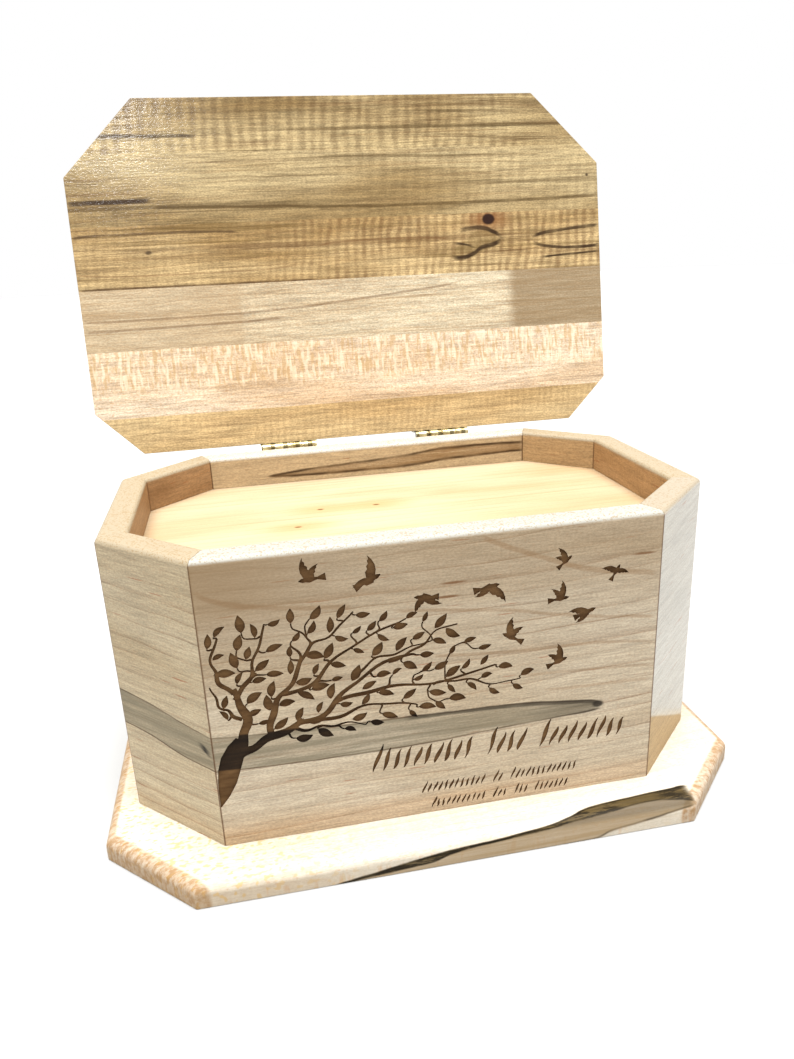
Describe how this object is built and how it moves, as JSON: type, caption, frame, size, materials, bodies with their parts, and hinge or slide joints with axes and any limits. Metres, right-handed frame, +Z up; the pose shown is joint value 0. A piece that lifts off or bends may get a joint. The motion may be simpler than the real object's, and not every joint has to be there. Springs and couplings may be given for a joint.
{
  "type": "hinged eight-sided cremation urn box",
  "caption": "Eight-sided wooden cremation urn box on a wider base plate, with a shallow tray, a closed chamber below it and a hinged lid shown open.",
  "frame": {"origin": "centre of the base plate's underside", "axes": "+Z up, +X to the right along the width, the engraved front faces -Y"},
  "size_m": [0.297, 0.2386, 0.3237],
  "materials": {
    "body_maple": "satin lacquered maple with a grey-blue spalted band",
    "base_maple": "satin lacquered pale maple with tan end grain",
    "panel_maple": "satin lacquered plain maple",
    "lid_maple": "satin lacquered edge-glued maple staves, some curly and spalted",
    "hinge_brass": "bright rolled brass",
    "screw_brass": "bright turned brass"
  },
  "bodies": {
    "urn": {"base_plate": "base_maple", "front_panel": "body_maple", "front_right_corner_panel": "body_maple", "right_panel": "body_maple", "back_right_corner_panel": "body_maple", "back_panel": "body_maple", "back_left_corner_panel": "body_maple", "left_panel": "body_maple", "front_left_corner_panel": "body_maple", "inner_panel": "panel_maple", "left_hinge_body_leaf": "hinge_brass", "left_hinge_pin": "hinge_brass", "left_hinge_body_screw_1": "screw_brass", "left_hinge_body_screw_2": "screw_brass", "right_hinge_body_leaf": "hinge_brass", "right_hinge_pin": "hinge_brass", "right_hinge_body_screw_1": "screw_brass", "right_hinge_body_screw_2": "screw_brass"},
    "lid": {"lid_board": "lid_maple", "left_hinge_lid_leaf": "hinge_brass", "left_hinge_lid_screw_1": "screw_brass", "left_hinge_lid_screw_2": "screw_brass", "right_hinge_lid_leaf": "hinge_brass", "right_hinge_lid_screw_1": "screw_brass", "right_hinge_lid_screw_2": "screw_brass"}
  },
  "joints": [
    {"name": "lid_hinge", "type": "hinge", "parent": "urn", "child": "lid", "pos_m": [0, 0.0874, 0.1392], "axis": [1, 0, 0], "range_deg": [0, 100]}
  ]
}
